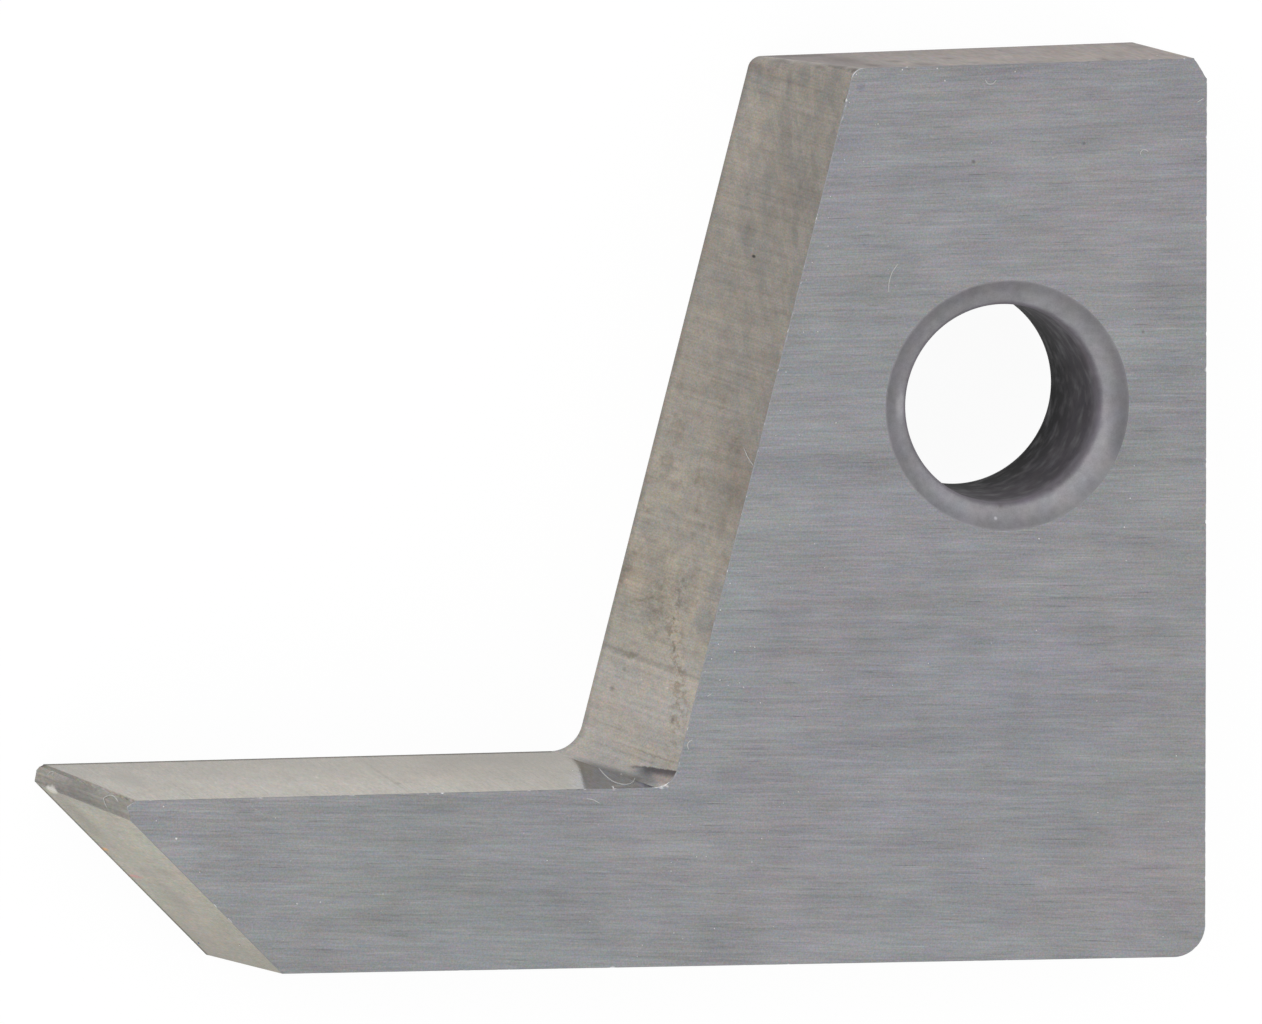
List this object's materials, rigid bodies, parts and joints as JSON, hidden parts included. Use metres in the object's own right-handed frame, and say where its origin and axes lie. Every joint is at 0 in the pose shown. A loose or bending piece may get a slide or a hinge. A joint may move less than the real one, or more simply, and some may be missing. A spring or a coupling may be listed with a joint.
{
  "type": "carbide lathe tool",
  "caption": "Solid carbide lathe tool: a long relieved foot with a rounded cutting tip, and a column with a countersunk screw bore.",
  "frame": {"origin": "middle of the screw bore, on its axis and halfway between the seating face and the rake face", "axes": "+X from the cutting tip towards the heel, +Y up the column away from the base, +Z along the bore out of the rake face"},
  "size_m": [0.0231, 0.0183, 0.0046],
  "materials": {
    "ground_carbide": "ground"
  },
  "bodies": {
    "root": {"tool_body": "ground_carbide"}
  },
  "joints": []
}
